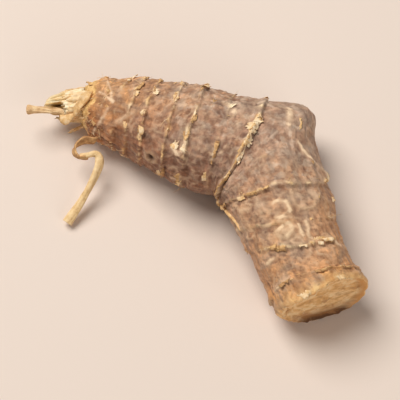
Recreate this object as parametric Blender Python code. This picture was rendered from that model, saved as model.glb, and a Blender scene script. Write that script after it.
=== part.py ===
"""A dried sand ginger rhizome, lying down: one elbowed piece, sawn off at one end and torn at the other."""

import math

import bmesh
import bpy
import numpy as np
from mathutils import Matrix, Vector, noise

NAME = "rhizome"
MM = 0.001  # the dimensions below are in millimetres and degrees, the meshes in metres

# Stations from the sawn end to the torn end, seen from above.
# Each is the x and y of the near edge, x and y of the far edge, height of the middle, half the height.
STATIONS = np.array([
    (11.7, -18.3, 24.9, -14.2, 6.1, 6.3),
    (10.4, -15.2, 23.1, -12.1, 6.5, 6.0),
    (8.1, -10.1, 21.5, -8.1, 7.1, 6.2),
    (6.3, -5.9, 20.5, -3.6, 7.4, 6.5),
    (4.4, -2.7, 19.4, 1.6, 7.3, 6.9),
    (3.6, -1.7, 18.0, 7.1, 7.0, 7.2),
    (3.2, -0.9, 17.4, 12.4, 6.9, 7.3),
    (2.2, -0.3, 9.7, 14.0, 7.2, 7.1),
    (-2.0, 1.1, 2.7, 15.6, 7.5, 6.8),
    (-6.4, 3.9, -2.9, 17.0, 6.6, 6.2),
    (-11.0, 7.4, -8.3, 18.3, 5.3, 5.5),
    (-14.9, 9.8, -13.3, 18.8, 5.1, 4.5),
    (-16.9, 11.5, -15.8, 18.5, 5.0, 3.7),
])
OVAL_POWER = 0.92  # of the section's sine and cosine, 1 for an ellipse

# Rows of vertices across the two ends: distance, and share of the section's size.
# The sawn face's distances are from the sawn end, the torn core's from the end of the bark.
SAWN_ROWS = ((0, 0), (0, 0.28), (0, 0.48), (0, 0.66), (0, 0.84), (-0.05, 0.95), (0.25, 1.0))
TORN_ROWS = (
    (0.4, 0.89), (-0.6, 0.82), (-0.3, 0.72), (1.2, 0.66), (2.6, 0.60), (4.2, 0.50), (5.6, 0.38), (6.5, 0.24),
    (6.9, 0),
)
SAW_SLANT = 1.6  # how far the sawn face's lower edge sticks out beyond its upper edge
SAW_SLANT_LENGTH = 6.0
# Angle round from the far edge, and how far the ragged edge of the bark stands out past the sawn face there.
COLLAR = (
    (0, 0.1), (30, 0.25), (60, 0.3), (75, 0.4), (90, 0.95), (105, 1.55), (120, 1.65), (135, 1.6),
    (150, 1.0), (165, 0.5), (180, 0.2), (210, 0.0), (330, 0.0), (360, 0.1),
)
COLLAR_LENGTH = 1.2  # of the bark that it draws out
COLLAR_INSIDE, COLLAR_WALL = 0.84, 0.09  # shares of the section's size: where it starts, and its slope
CORE_LEAN = -2.0  # towards the far edge at the core's point
CORE_GROOVES = (2.6, 1.3, 5.0)  # depth, breadth, length
CORE_HOLLOW, CORE_HOLLOW_ANGLE = 0.30, 205  # share of the core that is missing, and the side it is missing on

# Ring scars: distance from the sawn end, and height of the lip.
RINGS = (
    (1.9, 0.45), (8.2, 0.40), (11.6, 0.22), (16.9, 0.50), (24.9, 0.65), (30.0, 0.25),
    (34.4, 0.45), (37.8, 0.48), (41.8, 0.50), (44.4, 0.40), (46.6, 0.38), (48.8, 0.36),
)
# By distance, how far a ring's top and far side are shifted.
RING_LEAN = ((0, 0.0, 0.0), (5, -2.2, 0.0), (17, -2.2, 0.0), (24, 0.3, 3.6), (31, 0.0, 0.8), (36, 0.0, 0.0))
RING_WANDER = (0.75, 5.5, 14.0)  # shift, breadth, length
RING_STRAIGHTENING = 3.0  # length near each end over which both shifts die out
LIP_BEFORE, LIP_BEHIND = 0.30, 0.75  # widths of a lip's steep and gentle sides
LIP_BREADTH = 3.0  # of its higher and lower stretches

SWELLING = 0.28  # of the bark between two rings
LUMPS = ((0.42, 7.5), (0.20, 3.4))  # height and breadth
WRINKLES = (0.20, 2.1, 9.0)  # height, breadth, length

# Round scars that roots left: distance from the sawn end, angle round from the far edge, radius.
ROOT_SCARS = (
    (5.4, 236, 1.3), (13.6, 205, 1.5), (14.2, 318, 1.4), (20.6, 262, 1.6),
    (29.0, 232, 1.5), (33.5, 300, 1.3), (38.6, 215, 1.2), (39.6, 158, 0.9),
)
SCAR_RIM, SCAR_PIT = 0.28, 0.45

# Cut roots: distance from the sawn end, angle, length, radius, lean towards the torn end.
ROOT_STUBS = ((12.4, 318, 1.9, 0.85, 0.4), (22.6, 322, 2.0, 0.95, -0.5), (35.0, 328, 1.9, 0.70, 0.5))
STUB_SUNK, STUB_TAPER = 1.5, 0.8

# Flaps of torn scale round the torn core: angle, length, width, outward slant.
FLAPS = (
    (12, 2.6, 1.6, 0.10), (52, 2.2, 1.8, 0.25), (92, 2.5, 2.0, 0.05),
    (130, 2.3, 1.7, 0.30), (172, 4.2, 1.7, 0.12), (214, 5.0, 1.9, 0.45),
    (252, 3.6, 1.7, 0.25), (290, 2.8, 1.6, 0.35), (332, 3.3, 1.7, 0.15),
)
FLAP_THICKNESS, FLAP_SUNK, FLAP_INSET = 0.5, 1.1, 0.8
FLAP_SIDES = 5

SPLINTER_ROUTE = ((-18.0, 13.6, 5.0), (-20.6, 13.9, 5.2), (-23.2, 14.0, 5.4), (-25.5, 13.9, 5.7))
SPLINTER_RADIUS, SPLINTER_TAPER = 0.6, 0.75

# A dead root curls out under the torn end and droops nearly to the table.
ROOT_ROUTE = (
    (-14.6, 11.8, 3.9), (-15.1, 10.1, 4.5), (-16.2, 9.1, 4.9), (-17.4, 8.5, 4.9), (-17.9, 7.4, 4.8),
    (-17.1, 6.5, 4.7), (-15.7, 6.5, 4.9), (-14.5, 6.2, 4.9), (-14.5, 4.7, 4.2), (-15.7, 2.2, 3.1),
    (-17.3, -0.3, 1.9), (-19.1, -2.8, 1.0),
)
ROOT_RADIUS, ROOT_TAPER = 0.62, 0.9

SIDES = 48
ROW_GAP = 0.85  # usual length of a face along the bark
TUBE_STEPS = 4  # faces along a tube between two points of its route
TUBE_ROUNDING = 2


def read_table(table, at):
    """Rows of a table at fractional row numbers, on a Catmull-Rom curve through its rows."""
    last = len(table) - 1
    at = np.clip(at, 0, last - 1e-6)
    first = at.astype(int)
    share = (at - first)[..., None]
    before, start, end, after = (table[np.clip(first + step, 0, last)] for step in (-1, 0, 1, 2))
    cubic = 3 * (start - end) + after - before
    square = 2 * before - 5 * start + 4 * end - after
    return start + 0.5 * share * (end - before + share * (square + share * cubic))


def middles(rows):
    """Middle points of stations, or of rows read between them."""
    return np.stack([(rows[..., 0] + rows[..., 2]) / 2, (rows[..., 1] + rows[..., 3]) / 2, rows[..., 4]], -1)


def unit(vector):
    return vector / np.linalg.norm(vector)


ROUTE_ROWS = np.linspace(0, len(STATIONS) - 1, 400)
ROUTE = middles(read_table(STATIONS, ROUTE_ROWS))
ROUTE_LENGTHS = np.concatenate([[0], np.cumsum(np.linalg.norm(np.diff(ROUTE, axis=0), axis=1))])
LENGTH = ROUTE_LENGTHS[-1]
START_DIRECTION = unit(ROUTE[8] - ROUTE[0])
END_DIRECTION = unit(ROUTE[-1] - ROUTE[-9])
RING_EDGES = np.array([0, *(place for place, _ in RINGS), LENGTH])


def section(along, turn, spread):
    """(points, outward directions) of smooth bark at distances, angles and shares of the section's size."""
    row = read_table(STATIONS, np.interp(along, ROUTE_LENGTHS, ROUTE_ROWS))
    middle = middles(row) + np.minimum(along, 0)[..., None] * START_DIRECTION
    middle = middle + np.maximum(along - LENGTH, 0)[..., None] * END_DIRECTION
    half_across = np.stack([(row[..., 2] - row[..., 0]) / 2, (row[..., 3] - row[..., 1]) / 2, 0 * along], -1)
    half_up = np.stack([0 * along, 0 * along, row[..., 5]], -1)
    across, up = np.cos(turn)[..., None], np.sin(turn)[..., None]
    oval = np.sign(across) * abs(across) ** OVAL_POWER * half_across
    oval = oval + np.sign(up) * abs(up) ** OVAL_POWER * half_up
    outward = across * half_across / (half_across**2).sum(-1, keepdims=True)
    outward = outward + up * half_up / (half_up**2).sum(-1, keepdims=True)
    return middle + spread[..., None] * oval, outward / np.linalg.norm(outward, axis=-1, keepdims=True)


def smooth_noise(places, seed):
    """Noise of about -1 to 1 that changes over a distance of 1."""
    flat = places.reshape(-1, 3) + seed
    return np.array([noise.noise(Vector(place)) for place in flat]).reshape(places.shape[:-1])


def log_noise(along, turn, breadth, length, seed):
    """Noise on a straight log as thick as the rhizome, with features of this breadth and length."""
    radius = STATIONS[:, 5].mean() / breadth
    return smooth_noise(np.stack([radius * np.cos(turn), radius * np.sin(turn), along / length], -1), seed)


def strayed(along, turn, spread):
    """Distances moved a little, so that rings are wavy and lean, and the sawn face slants."""
    shift, breadth, length = RING_WANDER
    distances, top, far = np.array(RING_LEAN).T
    lean = np.interp(along, distances, top) * np.sin(turn) + np.interp(along, distances, far) * np.cos(turn)
    lean = lean + shift * log_noise(along, turn, breadth, length, 31)
    near_end = np.minimum(along, LENGTH - along)
    lean = lean * np.clip(near_end / RING_STRAIGHTENING, 0, 1) ** 2 * spread**4
    slant = SAW_SLANT * (spread * np.sin(turn) - 1) / 2
    return along + lean + slant * np.clip(1 - along / SAW_SLANT_LENGTH, 0, 1)


def lips(along, turn):
    """Raised lips of the ring scars, higher in some places than in others."""
    lift = 0 * along
    for number, (place, height) in enumerate(RINGS):
        ahead = along - place
        width = np.where(ahead < 0, LIP_BEFORE, LIP_BEHIND)
        presence = 0.75 + 0.6 * log_noise(0 * along, turn, LIP_BREADTH, 1, 7 * number + 0.3)
        lift += height * presence * np.exp(-((ahead / width) ** 2))
    return lift


def swelling(along):
    """The bark dips towards each ring."""
    after = np.clip(np.searchsorted(RING_EDGES, along), 1, len(RING_EDGES) - 1)
    start, end = RING_EDGES[after - 1], RING_EDGES[after]
    return SWELLING * (np.sin(math.pi * np.clip((along - start) / (end - start), 0, 1)) - 1)


def surface_point(along, degrees):
    """(point, outward direction) of smooth bark."""
    return section(np.array(along), np.array(math.radians(degrees)), np.array(1.0))


def scars(places):
    """A raised rim and a pit where each root was."""
    lift = np.zeros(places.shape[:-1])
    for along, degrees, radius in ROOT_SCARS:
        out = np.linalg.norm(places - surface_point(along, degrees)[0], axis=-1) / radius
        lift += SCAR_RIM * np.exp(-(((out - 1) / 0.35) ** 2)) - SCAR_PIT * np.exp(-((out / 0.6) ** 2))
    return lift


def collar(along, turn, spread):
    """How far a point is drawn out past the sawn face."""
    height = np.interp(np.degrees(turn) % 360, *np.array(COLLAR).T)
    height = height * np.exp(-((np.maximum(along, 0) / COLLAR_LENGTH) ** 2))
    return height * np.clip((spread - COLLAR_INSIDE) / COLLAR_WALL, 0, 1)


def bark(along, turn, spread):
    """Points of the whole body, in metres. The sawn face and the core, of spread under 1, have no relief."""
    place = strayed(along, turn, spread)
    core = np.clip((along - LENGTH) / TORN_ROWS[-1][0], 0, 1)
    missing = CORE_HOLLOW * np.clip(np.cos(turn - math.radians(CORE_HOLLOW_ANGLE)), 0, 1) * np.sqrt(core)
    smooth, outward = section(place, turn, spread * (1 - missing))
    wrinkle, breadth, length = WRINKLES
    relief = lips(along, turn) + swelling(along) + scars(smooth)
    relief += sum(height * smooth_noise(smooth / size, size) for height, size in LUMPS)
    relief += wrinkle * (0.5 - 2 * abs(log_noise(place, turn, breadth, length, 3)))
    groove, breadth, length = CORE_GROOVES
    grooves = groove * core * (1 - core) * log_noise(along, turn, breadth, length, 12)
    points = smooth + (relief * spread**4 + grooves)[..., None] * outward
    points[..., 1] += CORE_LEAN * core
    points -= collar(along, turn, spread)[..., None] * START_DIRECTION
    points[..., 2] = np.maximum(points[..., 2], 0)  # three places touch the table, and are flat there
    return points * MM


def body_rows():
    """(distances, shares of the section's size) of the rows of vertices, from the sawn end on."""
    rows = list(SAWN_ROWS)
    for start, end in zip(RING_EDGES[:-1], RING_EDGES[1:]):
        count = max(2, round((end - start) / ROW_GAP))
        rows += [(place, 1) for place in np.linspace(start + LIP_BEHIND, end - LIP_BEFORE, count)]
        rows.append((end, 1))
    return np.array(rows + [(LENGTH + step, share) for step, share in TORN_ROWS]).T


def make_body():
    """A sphere whose rings of vertices are moved to the rows of the body."""
    along, spread = body_rows()
    mesh = bpy.data.meshes.new(NAME)
    shape = bmesh.new()
    bmesh.ops.create_uvsphere(shape, u_segments=SIDES, v_segments=len(along) - 1, radius=1)
    ball = np.array([vertex.co for vertex in shape.verts])
    row = np.rint(np.arccos(np.clip(ball[:, 2], -1, 1)) / math.pi * (len(along) - 1)).astype(int)
    points = bark(along[row], np.arctan2(ball[:, 1], ball[:, 0]), spread[row])
    for vertex, point in zip(shape.verts, points):
        vertex.co = point
    shape.to_mesh(mesh)
    shape.free()
    return bpy.data.objects.new(NAME, mesh)


def add_tube(name, route, radius, taper, collection):
    """A closed tube through the route's points, thinner at its end."""
    points = read_table(np.array(route), np.linspace(0, len(route) - 1, TUBE_STEPS * (len(route) - 1) + 1))
    curve = bpy.data.curves.new(name, "CURVE")
    curve.dimensions = "3D"
    curve.bevel_depth = radius * MM
    curve.bevel_resolution = TUBE_ROUNDING
    curve.use_fill_caps = True
    spline = curve.splines.new("POLY")
    spline.points.add(len(points) - 1)
    for number, point in enumerate(points):
        spline.points[number].co = (*(point * MM), 1)
        spline.points[number].radius = 1 + (taper - 1) * number / (len(points) - 1)
    guide = bpy.data.objects.new(name, curve)
    bpy.context.scene.collection.objects.link(guide)
    graph = bpy.context.evaluated_depsgraph_get()
    mesh = bpy.data.meshes.new_from_object(guide.evaluated_get(graph))
    bpy.data.objects.remove(guide)
    bpy.data.curves.remove(curve)
    shape = bmesh.new()
    shape.from_mesh(mesh)
    bmesh.ops.remove_doubles(shape, verts=shape.verts, dist=0.00001)
    bmesh.ops.recalc_face_normals(shape, faces=shape.faces)
    shape.to_mesh(mesh)
    shape.free()
    collection.objects.link(bpy.data.objects.new(name, mesh))


def add_root_stubs(collection):
    for number, (along, degrees, length, radius, lean) in enumerate(ROOT_STUBS):
        foot, outward = surface_point(along, degrees)
        onward = unit(surface_point(along + 1.0, degrees)[0] - surface_point(along - 1.0, degrees)[0])
        neck = foot + length / 3 * outward
        route = (foot - STUB_SUNK * outward, neck, foot + length * (outward + lean * onward))
        add_tube(f"root_stub_{number}", route, radius, STUB_TAPER, collection)


def add_flaps(collection):
    """Flat cones that stand out of the rim of the bark."""
    for number, (degrees, length, width, slant) in enumerate(FLAPS):
        foot, outward = surface_point(LENGTH, degrees)
        direction = Vector(unit(END_DIRECTION + slant * outward))
        across = direction.cross(Vector(outward)).normalized()
        turned = Matrix((across, direction.cross(across), direction)).transposed().to_4x4()
        centre = Vector(foot - FLAP_INSET * outward) + (length / 2 - FLAP_SUNK) * direction
        shape = bmesh.new()
        bmesh.ops.create_cone(
            shape, cap_ends=True, segments=FLAP_SIDES, depth=length * MM,
            radius1=width / 2 * MM, radius2=width / 7 * MM,
        )
        flat = Matrix.Diagonal((1, FLAP_THICKNESS / width, 1, 1))
        shape.transform(Matrix.Translation(centre * MM) @ turned @ flat)
        mesh = bpy.data.meshes.new(f"flap_{number}")
        shape.to_mesh(mesh)
        shape.free()
        collection.objects.link(bpy.data.objects.new(mesh.name, mesh))


def join_all(body, collection):
    """Fuses everything in the collection to the body, and removes the collection."""
    modifier = body.modifiers.new("join", "BOOLEAN")
    modifier.operation = "UNION"
    modifier.operand_type = "COLLECTION"
    modifier.collection = collection
    modifier.solver = "MANIFOLD"
    graph = bpy.context.evaluated_depsgraph_get()
    mesh = bpy.data.meshes.new_from_object(body.evaluated_get(graph))
    body.modifiers.clear()
    body.data = mesh
    for piece in list(collection.objects):
        bpy.data.objects.remove(piece)
    bpy.data.collections.remove(collection)


def bark_material():
    """Matt mauve-brown bark."""
    material = bpy.data.materials.new("bark")
    material.use_nodes = True
    shader = material.node_tree.nodes["Principled BSDF"]
    shader.inputs["Base Color"].default_value = (0.30, 0.18, 0.12, 1)
    shader.inputs["Roughness"].default_value = 0.75
    shader.inputs["Metallic"].default_value = 0.0
    return material


def main():
    for old in list(bpy.data.objects):
        bpy.data.objects.remove(old)
    group = bpy.data.collections.new("sand_ginger")
    growths = bpy.data.collections.new("growths")
    bpy.context.scene.collection.children.link(group)
    bpy.context.scene.collection.children.link(growths)

    body = make_body()
    group.objects.link(body)
    add_root_stubs(growths)
    add_flaps(growths)
    add_tube("splinter", SPLINTER_ROUTE, SPLINTER_RADIUS, SPLINTER_TAPER, growths)
    add_tube("dead_root", ROOT_ROUTE, ROOT_RADIUS, ROOT_TAPER, growths)
    join_all(body, growths)
    body.data.materials.clear()
    body.data.materials.append(bark_material())
    body.data.shade_smooth()
    body.data.set_sharp_from_angle(angle=math.radians(40))


main()
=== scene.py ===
"""Looks of the dried sand ginger rhizome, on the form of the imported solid."""

import math
import random

import bpy
import numpy as np
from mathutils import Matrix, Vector, noise


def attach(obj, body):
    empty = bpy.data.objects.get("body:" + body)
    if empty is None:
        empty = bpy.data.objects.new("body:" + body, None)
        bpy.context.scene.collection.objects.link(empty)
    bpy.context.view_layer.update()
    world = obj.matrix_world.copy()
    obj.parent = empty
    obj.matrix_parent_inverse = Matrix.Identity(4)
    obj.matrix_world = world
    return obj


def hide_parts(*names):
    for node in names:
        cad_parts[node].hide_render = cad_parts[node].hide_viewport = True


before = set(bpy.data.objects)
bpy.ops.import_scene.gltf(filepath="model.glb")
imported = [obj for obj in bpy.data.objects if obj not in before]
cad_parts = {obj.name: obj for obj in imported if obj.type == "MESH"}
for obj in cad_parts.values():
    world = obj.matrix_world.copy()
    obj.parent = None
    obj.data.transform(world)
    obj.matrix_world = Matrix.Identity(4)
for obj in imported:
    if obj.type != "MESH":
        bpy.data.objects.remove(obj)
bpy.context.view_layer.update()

MM = 0.001  # lengths below are in millimetres
# Distances along the rhizome are from the sawn end. Angles round it are in degrees: 0 on the outer side of
# the bend, 90 on top and 180 on the inner side.

# The form, as in the part.
STATIONS = np.array([  # x and y of the inner and the outer edge, height of the middle, half height
    (11.7, -18.3, 24.9, -14.2, 6.1, 6.3),
    (10.4, -15.2, 23.1, -12.1, 6.5, 6.0),
    (8.1, -10.1, 21.5, -8.1, 7.1, 6.2),
    (6.3, -5.9, 20.5, -3.6, 7.4, 6.5),
    (4.4, -2.7, 19.4, 1.6, 7.3, 6.9),
    (3.6, -1.7, 18.0, 7.1, 7.0, 7.2),
    (3.2, -0.9, 17.4, 12.4, 6.9, 7.3),
    (2.2, -0.3, 9.7, 14.0, 7.2, 7.1),
    (-2.0, 1.1, 2.7, 15.6, 7.5, 6.8),
    (-6.4, 3.9, -2.9, 17.0, 6.6, 6.2),
    (-11.0, 7.4, -8.3, 18.3, 5.3, 5.5),
    (-14.9, 9.8, -13.3, 18.8, 5.1, 4.5),
    (-16.9, 11.5, -15.8, 18.5, 5.0, 3.7),
])
OVAL_POWER = 0.92
TORN_ROWS = (  # distance past the torn end, share of the section's size
    (0.4, 0.89), (-0.6, 0.82), (-0.3, 0.72), (1.2, 0.66), (2.6, 0.60), (4.2, 0.50), (5.6, 0.38), (6.5, 0.24),
    (6.9, 0),
)
SAW_SLANT, SAW_SLANT_LENGTH = 1.6, 6.0
COLLAR = (  # angle, height
    (0, 0.1), (30, 0.25), (60, 0.3), (75, 0.4), (90, 0.95), (105, 1.55), (120, 1.65), (135, 1.6),
    (150, 1.0), (165, 0.5), (180, 0.2), (210, 0.0), (330, 0.0), (360, 0.1),
)
COLLAR_LENGTH = 1.2
COLLAR_INSIDE, COLLAR_WALL = 0.84, 0.09
CORE_LEAN = -2.0
CORE_GROOVES = (2.6, 1.3, 5.0)
CORE_HOLLOW, CORE_HOLLOW_ANGLE = 0.30, 205
RINGS = (  # distance, height of the lip
    (1.9, 0.45), (8.2, 0.40), (11.6, 0.22), (16.9, 0.50), (24.9, 0.65), (30.0, 0.25),
    (34.4, 0.45), (37.8, 0.48), (41.8, 0.50), (44.4, 0.40), (46.6, 0.38), (48.8, 0.36),
)
RING_LEAN = ((0, 0.0, 0.0), (5, -2.2, 0.0), (17, -2.2, 0.0), (24, 0.3, 3.6), (31, 0.0, 0.8), (36, 0.0, 0.0))
RING_WANDER = (0.75, 5.5, 14.0)
RING_STRAIGHTENING = 3.0
LIP_BEFORE, LIP_BEHIND = 0.30, 0.75
LIP_BREADTH = 3.0
SWELLING = 0.28
LUMPS = ((0.42, 7.5), (0.20, 3.4))
WRINKLES = (0.20, 2.1, 9.0)
ROOT_SCARS = (  # distance, angle, radius
    (5.4, 236, 1.3), (13.6, 205, 1.5), (14.2, 318, 1.4), (20.6, 262, 1.6),
    (29.0, 232, 1.5), (33.5, 300, 1.3), (38.6, 215, 1.2), (39.6, 158, 0.9),
)
SCAR_RIM, SCAR_PIT = 0.28, 0.45
ROOT_STUBS = ((12.4, 318, 1.9, 0.85, 0.4), (22.6, 322, 2.0, 0.95, -0.5), (35.0, 328, 1.9, 0.70, 0.5))
FLAPS = (  # angle, length, width, slant
    (12, 2.6, 1.6, 0.10), (52, 2.2, 1.8, 0.25), (92, 2.5, 2.0, 0.05),
    (130, 2.3, 1.7, 0.30), (172, 4.2, 1.7, 0.12), (214, 5.0, 1.9, 0.45),
    (252, 3.6, 1.7, 0.25), (290, 2.8, 1.6, 0.35), (332, 3.3, 1.7, 0.15),
)
FLAP_SUNK, FLAP_INSET, FLAP_START = 1.1, 0.45, 0.9
SPLINTER_ROUTE = ((-18.0, 13.6, 5.0), (-20.6, 13.9, 5.2), (-23.2, 14.0, 5.4), (-25.5, 13.9, 5.7))

# The skin's grid.
SIDES = 208
ROW_GAP = 0.138
FACE_ROWS, RIM_ROWS, CORE_ROWS = 32, 6, 46
FACE_SHARE = 0.97  # of the section's size, up to the bark's rounded edge
EDGE_ROUNDING = 0.28
BARK_KIND, SAWN_KIND, CORE_KIND = range(3)

# Fine relief of the bark. Seeds pick one pattern of noise each.
CREST = (0.26, 0.20, 0.20)  # height, width, depth of the crease beside it
CREST_SLOPE = 0.8  # length over which the sheath behind the crest sinks back
CREST_REACH = 2.6  # how far from its ring it acts
CREST_LIFT, FRAY_LIFT = 0.07, 0.10
CREASE_PLACE, CREASE_WIDTH = -0.34, 0.24  # from the ring
FRAY_LENGTH = 0.55
JAGS = ((0.34, 1.7, 50), (0.16, 0.6, 80))  # shift, breadth, first seed
FAINT_RINGS = (5.2, 13.4, 20.6, 27.6, 32.4, 36.2, 39.9, 43.2, 45.5, 47.7, 50.4)
FAINT_STRENGTH = 0.15
NET = ((1.6, 0.27, 1.0), (1.0, 0.24, 0.55))  # size of the meshes, breadth of the lines, strength
NET_STRENGTH = ((0, 0.5), (7, 0.9), (10, 1.1), (15, 1.1), (18, 0.5), (28, 0.5), (36, 0.7), (52, 0.45))
NET_PATCHES = 3.6  # size of the places with more or less of it
NET_BEND = (0.55, 1.3, (21, 22, 23))  # shift, size, seeds
MARK_BEND = (0.24, 0.9, (5, 6, 7))
FINE_FOLDS = ((0.11, 0.95, 5.5, 40), (0.06, 0.45, 2.6, 41))  # height, breadth, length, seed
CROSS_FOLDS = (0.06, 3.2, 0.62, 42)
GRAIN_HEIGHT, GRAIN_SIZES = 0.06, (0.55, 0.28)  # the smaller one counts half
CURL_HEIGHT, MARK_HEIGHT, PEEL_HEIGHT = 0.08, 0.13, 0.06

# The two ends.
BARE_FROM = 50.6  # past this the bark is gone and the golden layer under it shows
BARE_LATER = 0.8  # on the inner side
BARE_STEP = 0.24
COLLAR_ROUGHNESS = 0.30
COLLAR_FLARE = 0.15
FACE_TURN = math.radians(17)  # of the sawn face's long axis
FACE_HOLLOW = 0.42
FACE_GROOVE = (0.14, 0.80, 0.05)  # depth, share of the section's size, breadth
FACE_RIM = (0.34, 0.91, 0.045)  # height, share of the section's size, breadth
CORE_SPLITS = (0.45, 0.7, 6.0, 45)  # height, breadth, length, seed
CORE_BLOCKS = (1.3, 1.5, 3.2, 63)
CORE_STEPS = 3.0  # of the blocks' height in a unit of noise
TIP_HOLLOW = (4.5, 121, 1.05, 1.1)  # past the torn end, angle, reach, depth

# Rings whose pale crest shows in the photograph: number, angles from and to, strength.
SHOWN = (
    (1, 42, 112, 0.6), (3, 48, 148, 0.8), (4, 52, 205, 1.2), (6, 78, 150, 0.7), (7, 34, 136, 0.75),
    (8, 60, 142, 1.0), (9, 58, 100, 0.8),
)
SHOWN_FADE = 10  # degrees over which it fades at both ends
# Pale lines and spots on the bark: strength, half breadth, then distances and angles along the line.
MARKS = (
    (1.0, 0.42, ((30.9, 62), (29.9, 69), (28.8, 77))),
    (1.0, 0.50, ((22.9, 51), (22.5, 61), (22.1, 66))),
    (0.6, 0.22, ((31.6, 121), (30.3, 126), (28.8, 121))),
    (1.0, 0.42, ((36.5, 130), (35.6, 137))),
    (1.0, 0.30, ((35.3, 137), (34.5, 126), (34.7, 120))),
    (0.7, 0.28, ((36.3, 181), (34.9, 177))),
    (1.0, 0.40, ((46.4, 33), (46.6, 40))),
    (0.9, 0.26, ((49.3, 60), (48.3, 82), (47.4, 98))),
    (0.9, 0.24, ((50.2, 84), (48.9, 89), (47.6, 96))),
    (0.6, 0.50, ((46.0, 126), (44.8, 115), (43.7, 104))),
    (0.7, 0.26, ((47.9, 111), (48.2, 125), (49.4, 150), (50.4, 177))),
    (1.0, 0.40, ((41.4, 66), (41.5, 73))),
    (0.6, 0.30, ((16.1, 83), (14.6, 86), (13.5, 82), (13.6, 65), (15.4, 48), (17.0, 45))),
    (1.1, 0.36, (
        (14.4, 106), (14.7, 100), (14.5, 93), (13.8, 91), (13.1, 91), (12.5, 97), (12.3, 105), (12.1, 112),
    )),
    (1.1, 0.38, ((11.4, 98), (11.0, 105), (10.3, 115), (9.6, 112), (9.4, 107))),
    (1.0, 0.36, ((11.4, 98), (10.6, 95), (9.8, 102), (9.4, 107))),
    (0.6, 0.50, ((10.6, 103), (9.9, 108))),
    (1.0, 0.30, ((11.2, 87), (10.2, 88), (9.4, 88))),
    (0.9, 0.30, ((11.7, 79), (10.9, 78), (10.0, 82), (9.2, 80))),
    (0.6, 0.28, ((11.5, 127), (11.7, 114), (11.7, 102))),
    (0.9, 0.36, ((8.8, 56), (8.4, 54))),
    (0.9, 0.34, ((7.6, 48), (6.9, 41))),
    (0.9, 0.36, ((6.1, 147), (6.7, 135))),
    (0.5, 0.28, ((16.1, 141), (14.6, 149), (12.9, 151), (11.2, 145))),
    (1.0, 0.34, ((20.3, 56), (19.5, 50), (18.9, 44), (18.1, 27), (17.2, 3))),
    (1.0, 0.30, ((21.3, 186), (16.8, 188), (15.3, 181), (13.9, 177), (12.7, 174), (11.6, 173))),
)
# Orange-brown places: strength, middle, half length, angle, half angle.
RUST = ((1.0, 11.5, 6.5, 25, 22), (0.55, 40, 12, 195, 38), (0.6, 6, 5, 200, 40))

# Large flakes seen in the photograph: distance, angle, breadth, length, heading, lift, shade.
FLAKES = (
    (25.5, 78, 1.3, 1.2, 165, 0.16, 0.9), (25.6, 91, 1.6, 1.5, 195, 0.12, 0.9),
    (25.5, 102, 1.4, 1.4, 175, 0.15, 0.95), (25.1, 117, 1.3, 1.3, 160, 0.2, 1.0),
    (25.2, 88, 1.0, 1.0, 10, 0.15, 0.8), (25.3, 140, 1.3, 0.5, 180, 0.3, 0.5),
    (36.3, 131, 1.0, 1.0, 230, 0.2, 0.9), (35.1, 126, 1.0, 0.8, 150, 0.2, 0.9),
    (41.9, 70, 1.1, 0.9, 180, 0.2, 0.9), (30.2, 68, 0.9, 1.3, 200, 0.1, 1.1),
    (46.6, 36, 1.1, 0.9, 190, 0.4, 0.95), (44.6, 80, 1.2, 0.6, 185, 0.25, 0.6),
    (17.1, 140, 1.3, 0.6, 180, 0.25, 0.65), (8.4, 70, 1.0, 0.4, 175, 0.2, 0.8),
    (0.6, 118, 2.2, 0.7, 178, 0.12, 0.65), (0.5, 72, 1.4, 0.6, 185, 0.1, 0.7),
)
RING_FLAKES = 75  # tried on a ring for each millimetre of its lip's height
STRAY_FLAKES, HAIRS, CORE_SLABS, CORE_STRANDS, SPLINTER_FIBRES = 60, 150, 22, 40, 9
GOLDEN_SHARE = 0.618  # of a turn from one slab or strand to the next
# The sheath's edge on the fifth ring runs on as a cord down the inner side of the bend: distances and angles.
CORD = (
    (24.3, 178), (23.2, 186), (21.3, 189), (19, 190), (16.8, 188), (15.3, 181), (13.9, 177), (12.7, 174),
    (11.6, 173),
)
CORD_RADIUS = 0.30

# The golden layer under the bark that curls away from the torn end, and directions across it.
GOLDEN_ROUTE = (
    (-15.7, 15.2, 9.1), (-16.4, 14.2, 8.8), (-17.3, 13.4, 8.0), (-17.8, 12.5, 6.9), (-18.8, 12.0, 6.3),
    (-19.6, 12.0, 6.0), (-20.3, 12.3, 5.8),
)
GOLDEN_ACROSS = (
    (0.95, -0.25, 0.1), (0.95, -0.2, 0.2), (0.9, -0.1, 0.4), (0.7, 0.4, 0.5), (0.3, 0.8, 0.5),
    (0.1, 0.8, 0.6), (0, 0.8, 0.6),
)
GOLDEN_WIDTHS = (0.9, 1.5, 1.7, 1.5, 1.4, 1.5, 1.0)
# A strip of bark that curls round the top of the dead root, directions across it, and the root.
CURL_ROUTE = (
    (-15.6, 12.6, 3.0), (-15.0, 10.6, 4.0), (-14.9, 9.0, 4.8), (-16.6, 8.9, 5.1), (-17.9, 7.8, 4.8),
    (-17.3, 6.5, 4.6), (-16.0, 6.5, 4.7),
)
CURL_ACROSS = (
    (0.9, 0.1, 0.3), (0.8, -0.1, 0.5), (0.3, 0.1, 0.9), (0.1, 0.3, 0.9), (0.4, 0.1, 0.9), (0.1, -0.3, 0.9),
    (0, -0.2, 1),
)
CURL_WIDTHS = (2.6, 2.0, 1.5, 1.5, 1.3, 0.9)
DEAD_ROOT_ROUTE = (
    (-17.2, 6.7, 4.4), (-16.2, 6.6, 4.8), (-14.8, 6.7, 5.1), (-14.2, 5.9, 4.9), (-14.5, 4.4, 4.2),
    (-15.7, 2.2, 3.1), (-17.3, -0.3, 1.9), (-19.1, -2.8, 1.0),
)

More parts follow.
